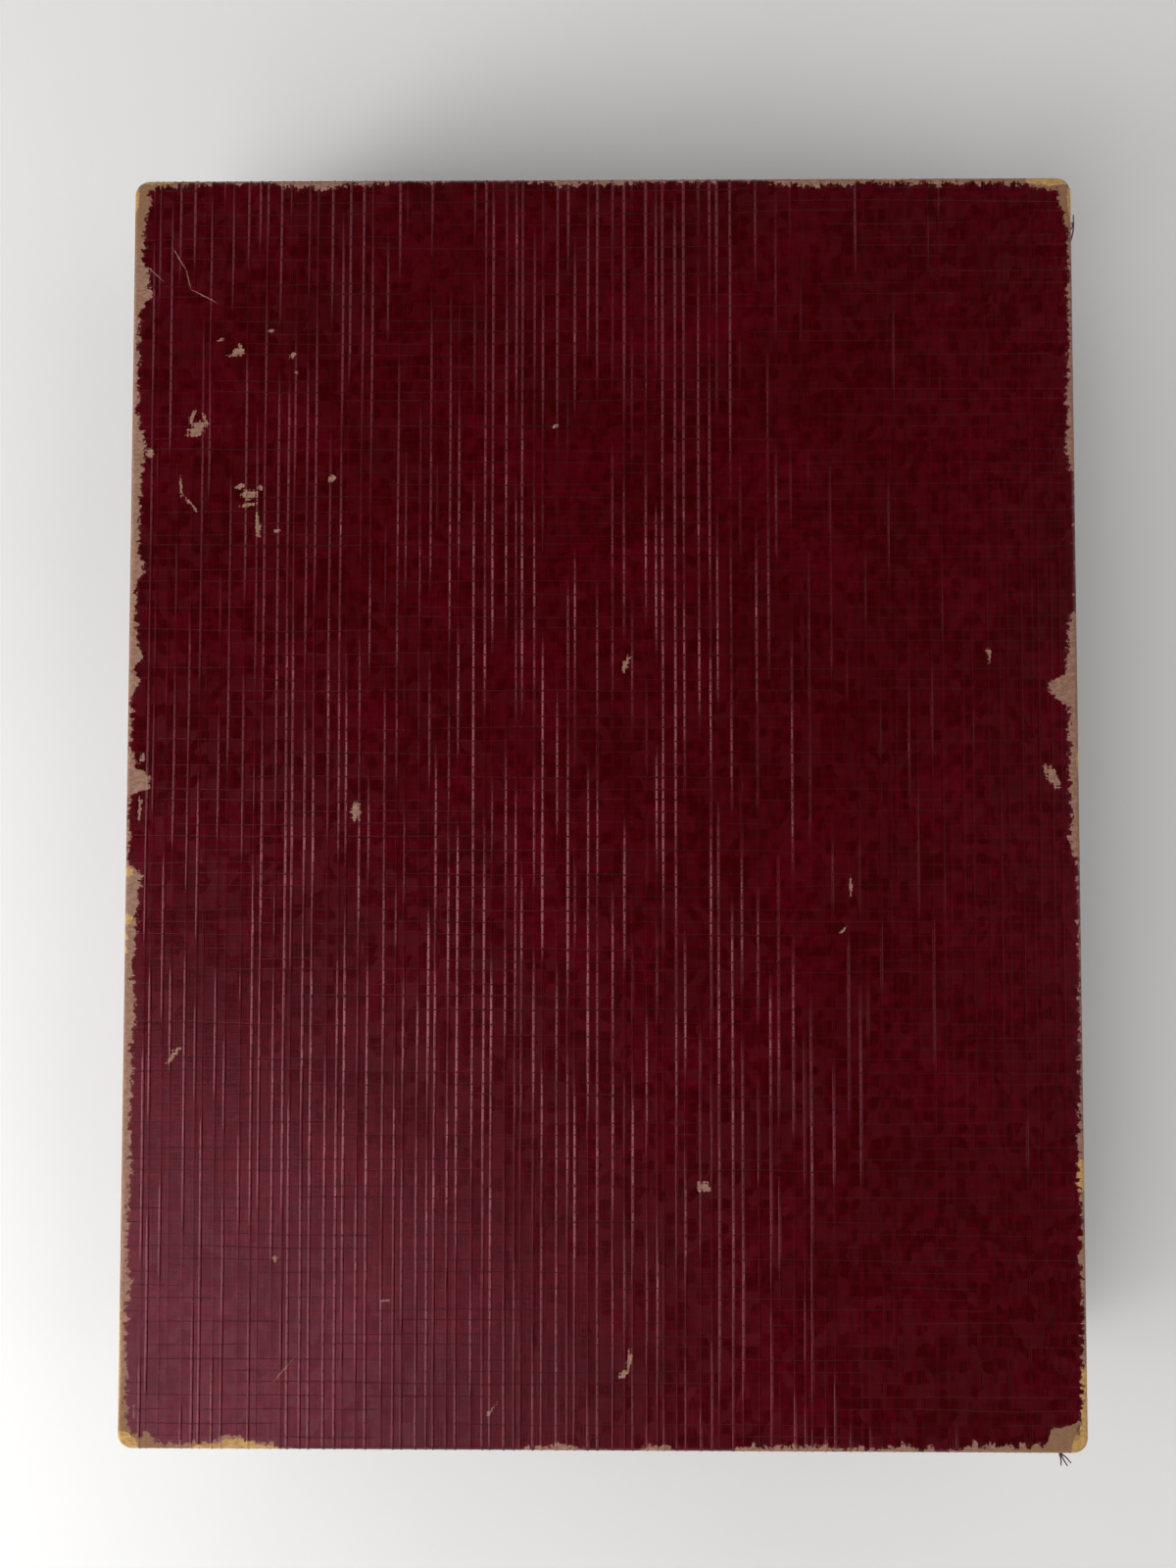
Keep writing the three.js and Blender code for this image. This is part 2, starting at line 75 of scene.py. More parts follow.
# How a rib's height changes along it, and how much flatter the ribs are at the lid's right
MEAN_HEIGHT = 0.72
OWN_CHANGE = 0.7
OWN_LENGTH = 26 * MM
SHARED_CHANGE = 0.35
SHARED_LENGTH = 60 * MM
FLATTER_RIGHT = 0.5
FLATTER_FROM = 15 * MM
FLATTER_TO = 70 * MM
FAINTEST = 0.06

# Added to a rib's number on each face but the lid's panel, so that no two faces fade alike
LID_SIDES = 100
TRAY_ENDS = 200
TRAY_SIDES = 300

# How far the embossing wanders sideways, in slow and in quick waves, in millimetres
SLOW_WANDER = 0.16
QUICK_WANDER = 0.05

# How squarely a face, or a vertex by its normal, has to face an axis to count as facing it
FACE_SQUARE = 0.99
VERTEX_SQUARE = 0.9

# Where the covering is worn through to the board: the corner's side, then in millimetres the
# reach along the end edge, along the side edge, in from each edge, and down the walls
WORN_CORNERS = {
    "head_left": ((-1, 1), (6.5, 4.5, 1.3, 2.2)),
    "head_right": ((1, 1), (8.2, 5.5, 1.8, 2.2)),
    "foot_left": ((-1, -1), (5.0, 9.0, 1.6, 2.4)),
    "foot_right": ((1, -1), (5.5, 14.0, 1.8, 3.0)),
}

# How coarse the torn edges are, and how deep as a share of the reach
TEAR_GRAIN = 1.1 * MM
TEAR_DEPTH = 0.5


# Selecting and shaping meshes


def deselect_all():
    bpy.ops.object.select_all(action="DESELECT")


def edit(piece):
    """Opens one piece in edit mode."""
    deselect_all()
    bpy.context.view_layer.objects.active = piece
    piece.select_set(True)
    bpy.ops.object.mode_set(mode="EDIT")


def leave_edit():
    bpy.ops.object.mode_set(mode="OBJECT")


def pick(piece, kind, wanted):
    """Selects the piece's verts, edges or faces that the test accepts, and nothing else."""
    bpy.ops.mesh.select_all(action="DESELECT")
    mesh = bmesh.from_edit_mesh(piece.data)
    bpy.context.tool_settings.mesh_select_mode = (kind == "verts", kind == "edges", kind == "faces")
    for item in getattr(mesh, kind):
        if wanted(item):
            item.select_set(True)
    mesh.select_flush_mode()
    bmesh.update_edit_mesh(piece.data)


def apply_all(piece):
    """Applies every modifier on the piece, in order."""
    deselect_all()
    bpy.context.view_layer.objects.active = piece
    piece.select_set(True)
    for modifier in list(piece.modifiers):
        bpy.ops.object.modifier_apply(modifier=modifier.name)


def corners_of(piece):
    """The piece's vertices as an array, one row each."""
    places = np.empty(len(piece.data.vertices) * 3)
    piece.data.vertices.foreach_get("co", places)
    return places.reshape(-1, 3)


def move_corners(piece, places):
    piece.data.vertices.foreach_set("co", places.ravel())
    piece.data.update()


def smoothstep(low, high, value):
    t = np.clip((value - low) / (high - low), 0, 1)
    return t * t * (3 - 2 * t)


# The covering papers of the lid and the tray


def rib_places(span):
    """Where the ribs stand across a face, at uneven distances."""
    places = []
    place = -span / 2 + RIB_PITCH
    while place < span / 2 - RIB_PITCH / 2:
        share = (len(places) * GOLDEN_SHARE) % 1
        places.append(place)
        place += RIB_PITCH * (LEAST_PITCH + ADDED_PITCH * share)
    return places


def rib_knees(places):
    """The lines where a rib's flanks meet the paper and the crest."""
    offsets = (-RIB_WIDTH / 2, -RIB_CREST / 2, RIB_CREST / 2, RIB_WIDTH / 2)
    return [place + offset for place in places for offset in offsets]


def rib_profile(places, at):
    """0 on the flat paper, 1 on a crest, with straight flanks, and which rib is nearest."""
    apart = np.abs(at[:, None] - np.array(places)[None, :])
    nearest = apart.argmin(axis=1)
    distance = apart.min(axis=1)
    flank = (RIB_WIDTH - RIB_CREST) / 2
    return np.clip((RIB_WIDTH / 2 - distance) / flank, 0, 1), nearest


def rib_strength(nearest, along, across):
    """How high ribs stand. Each fades in its own rhythm, and all are flatter at the right."""
    strength = np.empty(len(along))
    flatter = 1 - FLATTER_RIGHT * smoothstep(FLATTER_FROM, FLATTER_TO, across)
    for i, (rib, place) in enumerate(zip(nearest, along)):
        own = noise.noise((rib * 3.7, place / OWN_LENGTH, 4.2))
        shared = noise.noise((rib * 0.11, place / SHARED_LENGTH, 9.1))
        strength[i] = MEAN_HEIGHT + OWN_CHANGE * own + SHARED_CHANGE * shared
    return np.clip(strength * flatter, FAINTEST, 1)


def waver(places):
    """How far the embossing wanders sideways at each vertex."""
    wander = np.empty(len(places))
    for i, (x, y, _) in enumerate(places):
        slow = noise.noise((x / (45 * MM), y / (70 * MM), 1.3))
        quick = noise.noise((x / (7 * MM), y / (24 * MM), 7.7))
        wander[i] = SLOW_WANDER * slow + QUICK_WANDER * quick
    return wander * MM


def cut_rows(axis, places):
    """Cuts the selected faces square to an axis (0, 1 or 2) at each place."""
    normal = [0, 0, 0]
    normal[axis] = 1
    for place in places:
        point = [0, 0, 0]
        point[axis] = place
        bpy.ops.mesh.bisect(plane_co=point, plane_no=normal)
        bpy.ops.mesh.select_all(action="SELECT")


def inset_outline(places, half, radius, inset):
    """Points round a rounded rectangle, moved square to it to lie this far inside its outline."""
    centres = np.clip(places, -(half - radius), half - radius)
    outward = places - centres
    outward /= np.linalg.norm(outward, axis=1)[:, None]
    return centres + outward * (radius - inset)


def lid_covering():
    """The embossed sheet over the lid, folded down, turned in at the rim, worn at its corners."""
    low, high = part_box("lid_wrap")
    panel = high.z - RIB_HEIGHT
    size = Vector((high.x - low.x - 2 * RIB_HEIGHT, high.y - low.y - 2 * RIB_HEIGHT, panel - low.z))
    middle = Vector((0, 0, low.z + size.z / 2))
    deselect_all()
    bpy.ops.mesh.primitive_cube_add(size=1, location=middle, scale=size)
    piece = bpy.context.active_object
    piece.name = "lid_covering"
    bpy.ops.object.transform_apply(location=True, rotation=True, scale=True)

    edit(piece)
    pick(piece, "faces", lambda face: face.normal.z < -0.5)
    bpy.ops.mesh.delete(type="FACE")
    pick(piece, "edges", lambda edge: abs(edge.verts[0].co.z - edge.verts[1].co.z) > size.z / 2)
    bpy.ops.mesh.bevel(offset=LID_CORNER, segments=CORNER_SEGMENTS, affect="EDGES")
    pick(piece, "edges", lambda edge: all(vert.co.z > panel - MM / 10 for vert in edge.verts))
    bpy.ops.mesh.bevel(offset=LID_EDGE_ROUND, segments=EDGE_SEGMENTS, affect="EDGES")

    across = rib_places(size.x - 2 * RIB_MARGIN)
    down = [panel - size.z / 2 + place for place in rib_places(size.z - 2 * RIB_MARGIN)]
    bpy.ops.mesh.select_all(action="SELECT")
    cut_rows(0, rib_knees(across))
    for place in rib_knees(down):
        pick(piece, "faces", lambda face: abs(face.normal.x) > FACE_SQUARE)
        bpy.ops.mesh.bisect(plane_co=(0, 0, place), plane_no=(0, 0, 1))
    for place in down[::2]:
        pick(piece, "faces", lambda face: abs(face.normal.y) > FACE_SQUARE)
        bpy.ops.mesh.bisect(plane_co=(0, 0, place), plane_no=(0, 0, 1))
    rows = int((size.y - 2 * LID_CORNER) / ROW)
    bpy.ops.mesh.select_all(action="SELECT")
    cut_rows(1, [ROW * (i - rows / 2) for i in range(rows + 1)])
    leave_edit()

    emboss(piece, across, down, panel)
    turn_in_rim(piece, size, low.z, panel)
    wear_corners(piece, size, panel)
    shade_evenly(piece)
    return piece


def emboss(piece, across, down, panel):
    """Raises the ribs on the panel and the walls, and lets them wander a little."""
    places = corners_of(piece)
    normals = np.array([tuple(vertex.normal) for vertex in piece.data.vertices])
    on_sides = np.abs(normals[:, 0]) > VERTEX_SQUARE
    profile_across, nearest_across = rib_profile(across, places[:, 0])
    profile_down, nearest_down = rib_profile(down, places[:, 2])
    profile = np.where(on_sides, profile_down, profile_across)
    along = np.where(np.abs(normals[:, 1]) > 0.5, places[:, 1] + places[:, 2] - panel, places[:, 1])
    nearest = np.where(on_sides, nearest_down + LID_SIDES, nearest_across)
    strength = rib_strength(nearest, along, places[:, 0])
    # The ribs die out on the round corners, where the paper faces two ways at once
    corner = np.abs(normals[:, 0]) * np.abs(normals[:, 1])
    height = profile * strength * (1 - smoothstep(0.02, 0.2, corner))

    group = piece.vertex_groups.new(name="ribs")
    for i, share in enumerate(height):
        if share > 0:
            group.add([i], float(share), "REPLACE")
    raise_ribs = piece.modifiers.new("raise_ribs", "DISPLACE")
    raise_ribs.strength = RIB_HEIGHT
    raise_ribs.mid_level = 0
    raise_ribs.direction = "NORMAL"
    raise_ribs.vertex_group = "ribs"
    apply_all(piece)

    # The side walls stay where they are, so that the lid keeps its width
    places = corners_of(piece)
    inside = 1 - smoothstep(0.3, 0.9, np.abs(normals[:, 0]))
    places[:, 0] += waver(places) * inside
    move_corners(piece, places)


def turn_in_rim(piece, size, rim, panel):
    """Folds the sheet under the rim and up inside the wall, then gives it its thickness."""
    wall = size.x / 2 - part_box("lid_board")[1].x + BOARD + GLUE
    folds = [
        (wall + PAPER, rim),
        (wall + PAPER, rim + TURN_IN),
        (wall, rim + TURN_IN),
        (wall, rim + PAPER),
        (PAPER, rim + PAPER),
        (PAPER, panel - LID_EDGE_ROUND),
        (LID_EDGE_ROUND, panel - PAPER),
    ]
    half = np.array((size.x / 2, size.y / 2))
    edit(piece)
    pick(piece, "edges", lambda edge: len(edge.link_faces) == 1)
    for inset, height in folds:
        bpy.ops.mesh.extrude_edges_move()
        mesh = bmesh.from_edit_mesh(piece.data)
        chosen = [vert for vert in mesh.verts if vert.select]
        outline = np.array([vert.co.xy[:] for vert in chosen])
        for vert, (x, y) in zip(chosen, inset_outline(outline, half, LID_CORNER, inset)):
            vert.co = (x, y, height)
        bmesh.update_edit_mesh(piece.data)
    bpy.ops.mesh.edge_face_add()
    bpy.ops.mesh.select_all(action="SELECT")
    bpy.ops.mesh.normals_make_consistent(inside=False)
    leave_edit()


def lumpy_ball(name, centre, reach):
    """A ball stretched to its reach, with an uneven surface that tears a ragged edge."""
    deselect_all()
    bpy.ops.mesh.primitive_ico_sphere_add(subdivisions=6, radius=1, location=(0, 0, 0))
    ball = bpy.context.active_object
    ball.name = name
    places = corners_of(ball)
    for i, place in enumerate(places):
        point = Vector(place) * Vector(reach)
        rough = noise.fractal(Vector(centre) / TEAR_GRAIN + point / TEAR_GRAIN, 1.0, 2.1, 3)
        places[i] = Vector(centre) + point * (1 + TEAR_DEPTH * rough)
    move_corners(ball, places)
    return ball


def wear_corners(piece, size, panel):
    """Cuts the covering away where each top corner is rubbed through to the board."""
    balls = []
    for name, (corner, reach) in WORN_CORNERS.items():
        along_end, along_side, inward, down = (length * MM for length in reach)
        centre = (corner[0] * size.x / 2, corner[1] * size.y / 2, panel)
        spreads = {"end": (along_end, inward, down), "side": (inward, along_side, down)}
        for edge, spread in spreads.items():
            balls.append(lumpy_ball(f"worn_{name}_{edge}", centre, spread))
    for ball in balls:
        wear = piece.modifiers.new("wear", "BOOLEAN")
        wear.operation = "DIFFERENCE"
        wear.solver = "FAST"
        wear.object = ball
    apply_all(piece)
    for ball in balls:
        bpy.data.objects.remove(ball)


def tray_covering():
    """The strip round the tray's walls, with the ribs raised on its outside."""
    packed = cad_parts["tray_wrap"]
    low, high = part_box("tray_wrap")
    piece = bpy.data.objects.new("tray_covering", packed.data.copy())
    bpy.context.scene.collection.objects.link(piece)
    edit(piece)
    bpy.ops.mesh.select_all(action="SELECT")
    bpy.ops.mesh.remove_doubles(threshold=MM / 1000)
    across = rib_places(high.x - low.x - 2 * RIB_MARGIN)
    down = [(low.z + high.z) / 2 + place for place in rib_places(high.z - low.z - 2 * RIB_MARGIN)]
    cut_rows(0, rib_knees(across))
    for place in rib_knees(down):
        pick(piece, "faces", lambda face: abs(face.normal.x) > FACE_SQUARE)
        bpy.ops.mesh.bisect(plane_co=(0, 0, place), plane_no=(0, 0, 1))
    bpy.ops.mesh.select_all(action="SELECT")
    rows = int((high.y - low.y) / TRAY_ROW)
    cut_rows(1, [TRAY_ROW * (i - rows / 2) for i in range(1, rows)])
    leave_edit()

    places = corners_of(piece)
    normals = np.array([tuple(vertex.normal) for vertex in piece.data.vertices])
    outside = 0.02 * MM
    on_sides = (np.abs(normals[:, 0]) > VERTEX_SQUARE) & (np.abs(places[:, 0]) > high.x - outside)
    on_ends = (np.abs(normals[:, 1]) > VERTEX_SQUARE) & (np.abs(places[:, 1]) > high.y - outside)
    profile_across, nearest_across = rib_profile(across, places[:, 0])
    profile_down, nearest_down = rib_profile(down, places[:, 2])
    not_flatter = np.zeros(len(places))
    strength_across = rib_strength(nearest_across + TRAY_ENDS, places[:, 2], not_flatter)
    strength_down = rib_strength(nearest_down + TRAY_SIDES, places[:, 1], not_flatter)
    places[:, 0] += np.sign(places[:, 0]) * on_sides * profile_down * strength_down * RIB_HEIGHT
    places[:, 1] += np.sign(places[:, 1]) * on_ends * profile_across * strength_across * RIB_HEIGHT
    move_corners(piece, places)
    shade_evenly(piece)
    return piece


THREAD = 0.34 * MM
THREAD_TAPER = 0.35

# Each loose thread from its root in the paper to its tip, in millimetres
THREADS = [
    [(84.6, -119.4, 37.2), (84.9, -120.2, 36.9), (85.5, -121.3, 36.6), (86.1, -122.3, 36.9)],
    [(84.6, -119.4, 37.0), (85.3, -120.4, 36.5), (86.2, -121.2, 36.1), (87.0, -122.1, 36.3)],
    [(84.8, -119.4, 36.6), (85.0, -120.5, 36.0), (85.3, -121.6, 35.9), (85.2, -122.6, 36.2)],
    [(89.4, 106.8, 37.0), (90.1, 108.4, 36.6), (90.6, 110.6, 36.4), (90.4, 112.8, 36.9)],
    [(89.3, 109.6, 36.6), (90.2, 110.4, 36.1), (90.7, 111.2, 35.6), (90.8, 112.2, 35.3)],
]


def frayed_threads():
    """Loose ends of the covering's threads at two of the lid's corners, as thin tubes."""
    curve = bpy.data.curves.new("frayed_threads", "CURVE")
    curve.dimensions = "3D"
    curve.bevel_depth = THREAD / 2
    curve.bevel_resolution = 1
    curve.resolution_u = 4
    curve.use_fill_caps = True
    for knots in THREADS:
        line = curve.splines.new("BEZIER")
        line.bezier_points.add(len(knots) - 1)
        for i, (point, place) in enumerate(zip(line.bezier_points, knots)):
            point.co = Vector(place) * MM
            point.handle_left_type = point.handle_right_type = "AUTO"
            point.radius = 1 - THREAD_TAPER * i / (len(knots) - 1)
    piece = bpy.data.objects.new("frayed_threads", curve)
    bpy.context.scene.collection.objects.link(piece)
    deselect_all()
    piece.select_set(True)
    bpy.context.view_layer.objects.active = piece
    bpy.ops.object.convert(target="MESH")
    piece = bpy.context.active_object
    bpy.ops.object.shade_smooth()
    return piece


# Faces that turn by less than this from one to the next are shaded as one round surface
RIB_SHARPNESS = math.radians(16)


def shade_evenly(piece):
    """Keeps the flats between the ribs flat and rounds the ribs themselves."""
    deselect_all()
    piece.select_set(True)
    bpy.context.view_layer.objects.active = piece
    bpy.ops.object.shade_smooth_by_angle(angle=RIB_SHARPNESS)
    piece.modifiers.new("even_shading", "WEIGHTED_NORMAL").keep_sharp = True
    apply_all(piece)


# Finishes


class Finish:
    """A material's nodes. An input is a number, a colour or another node's output."""

    def __init__(self, name):
        self.material = bpy.data.materials.new(name)
        self.material.use_nodes = True
        self.tree = self.material.node_tree
        self.tree.nodes.clear()

    def node(self, kind, inputs=None, **settings):
        node = self.tree.nodes.new(kind)
        for key, value in settings.items():
            setattr(node, key, value)
        for socket, value in (inputs or {}).items():
            if isinstance(value, bpy.types.NodeSocket):
                self.tree.links.new(value, node.inputs[socket])
            else:
                node.inputs[socket].default_value = value
        return node

    def place(self):
        """Where the surface is, in millimetres: the vector, then x, y and z."""
        found = self.node("ShaderNodeTexCoord").outputs["Object"]
        inputs = {0: found, "Scale": 1 / MM}
        scaled = self.node("ShaderNodeVectorMath", inputs, operation="SCALE").outputs[0]
        parts = self.node("ShaderNodeSeparateXYZ", {0: scaled})
        return scaled, parts.outputs[0], parts.outputs[1], parts.outputs[2]

    def facing(self):
        """How squarely the surface faces each axis: x, y and z, from 0 to 1."""
        normal = self.node("ShaderNodeNewGeometry").outputs["True Normal"]
        size = self.node("ShaderNodeVectorMath", {0: normal}, operation="ABSOLUTE").outputs[0]
        return self.node("ShaderNodeSeparateXYZ", {0: size}).outputs

    def math(self, operation, *values):
        return self.node("ShaderNodeMath", dict(enumerate(values)), operation=operation).outputs[0]

    def total(self, first, *rest):
        for value in rest:
            first = self.math("ADD", first, value)
        return first

    def least(self, first, *rest):
        for value in rest:
            first = self.math("MINIMUM", first, value)
        return first

    def most(self, first, *rest):
        for value in rest:
            first = self.math("MAXIMUM", first, value)
        return first

    def product(self, first, *rest):
        for value in rest:
            first = self.math("MULTIPLY", first, value)
        return first

    def grade(self, value, low, high, start=0, end=1):
        """Goes smoothly from start to end as the value goes from low to high."""
        inputs = {"Value": value, "From Min": low, "From Max": high, "To Min": start, "To Max": end}
        node = self.node("ShaderNodeMapRange", inputs, interpolation_type="SMOOTHSTEP")
        return node.outputs[0]

    def stretch(self, vector, x=1, y=1, z=1, shift=(0, 0, 0)):
        inputs = {0: vector, "Scale": (x, y, z), "Location": shift}
        return self.node("ShaderNodeMapping", inputs).outputs[0]

    def grain(self, vector, scale=1, detail=2, roughness=0.5):
        """Even noise about 0.5."""
        inputs = {"Vector": vector, "Scale": scale, "Detail": detail, "Roughness": roughness}
        return self.node("ShaderNodeTexNoise", inputs).outputs[0]

    def width(self, along, low, high, table, most=8):
        """A border's width from a table of places and widths along an edge, none above most."""
        share = self.math("DIVIDE", self.math("SUBTRACT", along, low), high - low)
        node = self.node("ShaderNodeFloatCurve", {"Value": share})
        curve = node.mapping.curves[0]
        for place, wide in table[1:-1]:
            curve.points.new((place - low) / (high - low), wide / most)
        curve.points[0].location = (0, table[0][1] / most)
        curve.points[-1].location = (1, table[-1][1] / most)
        for point in curve.points:
            point.handle_type = "VECTOR"
        node.mapping.update()
        return self.product(node.outputs[0], most)

    def cells(self, vector, randomness=0.8):
        """Squarish cells 1 apart: how far from a cell's middle, and a random number for each."""
        node = self.node(
            "ShaderNodeTexVoronoi",
            {"Vector": vector, "Scale": 1, "Randomness": randomness},
            distance="CHEBYCHEV",
            voronoi_dimensions="2D",
        )
        number = self.node("ShaderNodeSeparateColor", {0: node.outputs["Color"]}).outputs[0]
        return node.outputs["Distance"], number

    def steps(self, along, apart):
        """A random number from 0 to 1 for each of a row of uneven steps."""
        inputs = {"W": along, "Scale": 1 / apart}
        node = self.node("ShaderNodeTexVoronoi", inputs, voronoi_dimensions="1D")
        return self.node("ShaderNodeSeparateColor", {0: node.outputs["Color"]}).outputs[0]

    def rules(self, along, apart, evenness=0.6):
        """Distance to the nearest of a row of uneven lines, as a share of their spacing."""
        inputs = {"W": along, "Scale": 1 / apart, "Randomness": 1 - evenness}
        node = self.node(
            "ShaderNodeTexVoronoi", inputs, voronoi_dimensions="1D", feature="DISTANCE_TO_EDGE"
        )
        return node.outputs["Distance"]

    def blend(self, share, first, second):
        node = self.node("ShaderNodeMix", {0: share, 6: first, 7: second}, data_type="RGBA")
        return node.outputs[2]

    def shade(self, colour, share, amount):
        """Darkens a colour where share is low and lightens it where share is high."""
        level = self.grade(share, 0, 1, 1 - amount, 1 + amount)
        node = self.node("ShaderNodeVectorMath", {0: colour, "Scale": level}, operation="SCALE")
        return node.outputs[0]

    def relief(self, height, distance, strength=1.0, over=None):
        """Bump of that height in millimetres at most."""
        inputs = {"Height": height, "Distance": distance * MM, "Strength": strength}
        if over is not None:
            inputs["Normal"] = over
        return self.node("ShaderNodeBump", inputs).outputs[0]

    def finish(self, colour, roughness, normal=None, **constants):
        inputs = {"Base Color": colour, "Roughness": roughness}
        if normal is not None:
            inputs["Normal"] = normal
        inputs.update({name.replace("_", " "): value for name, value in constants.items()})
        shader = self.node("ShaderNodeBsdfPrincipled", inputs)
        self.node("ShaderNodeOutputMaterial", {0: shader.outputs[0]})
        return self.material


def seen(*parts):
    """A colour as the eye sees it, 0 to 255 each, in the renderer's own scale."""
    colour = []
    for part in parts:
        share = part / 255
        colour.append(((share + 0.055) / 1.055) ** 2.4 if share > 0.04 else share / 12.92)
    return (*colour, 1)


# The covering paper: its colours, and the tint that its varnish gives to what it mirrors
MAROON = seen(67, 0, 7)
DARK_MAROON = seen(50, 0, 2)
PLUM = seen(76, 2, 18)
RUBBED_CREST = seen(158, 98, 104)
# A painted highlight laid along the crests of the ribs
PAINTED_CREST_HIGHLIGHT = seen(140, 72, 84)
RULED_LINE = seen(26, 0, 5)
FRINGE = seen(110, 52, 54)
VARNISH = (1, 0.34, 0.46, 1)
PAPER_FIBRE = seen(119, 90, 74)
PAPER_FIBRE_LIGHT = seen(146, 113, 95)
GRUBBY_TAPE = seen(120, 90, 58)
STRAW = seen(182, 148, 94)
STRAW_DARK = seen(150, 114, 66)

# Its pattern: cells to the millimetre across and along the ribs, and millimetres between lines
CELLS_ACROSS = 0.5
CELLS_ALONG = 0.42
RULED_APART = 2.3

# How rough the varnish is where it is still smooth, where it is dulled and where it is gone
SMOOTH = 0.24
DULLED = 0.4
GONE = 0.85

# The lengths of the teeth in the rubbed borders along the sides and the ends, in millimetres
SIDE_TOOTH = 0.9
END_TOOTH = 1.1

# How far in the upright corners, the rims and the foot are rubbed, in millimetres
LID_CORNER_RUB = 2.4
LID_RIM_RUB = 0.5
TRAY_CORNER_RUB = 1.5
TRAY_FOOT_RUB = 0.9
TRAY_RIM_RUB = 0.3

# How wide the paper is rubbed off along each top edge of the lid, in millimetres: place along
# the edge, then width. The sides run from the foot to the head, the ends from left to right.
WORN_LEFT = [
    (-120, 3.2), (-114, 2), (-100, 1.5), (-88, 2.2), (-80, 1.5), (-68, 2.2), (-60, 1.8),
    (-51, 2.5), (-46, 1.8), (-41, 2.5), (-31, 1.9), (-13, 3.4), (-11.5, 0.9), (1.5, 1), (3, 5),
    (5, 5), (6.5, 2), (11, 0.9), (20, 1.1), (23, 2.7), (25.5, 1.3), (27.5, 3.2), (31, 1.8),
    (41, 1.7), (44.5, 3.4), (48, 1.9), (69, 2.8), (75, 1.2), (95, 1.8), (96.5, 3.6), (102.5, 3.3),
    (104, 1.8), (113, 3), (120, 3.6),
]
WORN_RIGHT = [
    (-120, 3.4), (-117, 6.6), (-115, 6.4), (-114, 1.6), (-103, 1), (-89, 1), (-84, 1.8),
    (-79, 0.7), (-71, 1.6), (-40, 0.8), (-11, 0.9), (-8.5, 2), (18, 2.1), (21, 6), (23, 5.8),
    (24, 2.6), (36, 1.6), (37, 0.4), (61, 0.5), (66, 1.8), (93, 1.2), (108, 1), (117.5, 3.3),
    (120, 3.3),
]
WORN_HEAD = [
    (-90, 3.8), (-87, 1.9), (-79, 1.1), (-64, 1), (-62, 1.6), (-52.5, 2.3), (-50, 1.2),
    (-28, 0.5), (-15, 0.5), (-7.5, 1.6), (5.5, 1.5), (7.5, 0.8), (30, 0.9), (35, 1.6), (46, 2.1),
    (48, 1.4), (81, 1.7), (90, 3.2),
]
WORN_FOOT = [
    (-90, 4), (-87, 2.4), (-84, 3.3), (-82, 1.5), (-76, 1.4), (-69, 2.9), (-65, 2.5), (-58, 0.8),
    (-57, 0.1), (-18, 0.2), (-8, 1.6), (1, 0.6), (2, 0.1), (7, 0.1), (8, 1.3), (13, 1.4),
    (14, 0.1), (24, 0.1), (25, 1.4), (41, 1.6), (49, 1), (57.5, 2), (59, 0.2), (61, 1.8),
    (63, 0.3), (68, 2), (82, 1.9), (83, 4.6), (90, 5),
]

# Where the worn border is down to the board: centre x, y, half length, half width, turn
BARE_BOARD = [
    (-86.0, 119.6, 4.4, 0.8, 0),
    (-89.5, 116.6, 3.0, 0.7, 90),
    (85.6, 119.2, 4.8, 1.2, 0),
    (89.6, 115.2, 4.2, 0.7, 90),
    (55.6, 119.7, 2.4, 0.5, 0),
    (-89.2, -13.0, 1.0, 0.9, 0),
    (-89.2, -21.9, 1.1, 0.9, 0),
    (-89.4, -25.2, 0.6, 0.5, 90),
    (-89.4, -27.7, 0.7, 0.5, 90),
    (-88.3, -118.4, 2.8, 1.9, 150),
    (-89.8, -105, 13, 0.5, 90),
    (-67.8, -119.5, 8.8, 1.1, 0),
    (-67.2, -118.6, 3.4, 1.1, 0),
    (89.7, 8.0, 2.2, 0.5, 90),
    (89.2, -69, 3.2, 1.0, 90),
    (89.3, -109.5, 6.5, 1.1, 90),
    (88.3, -117.4, 3.4, 1.5, 70),
]

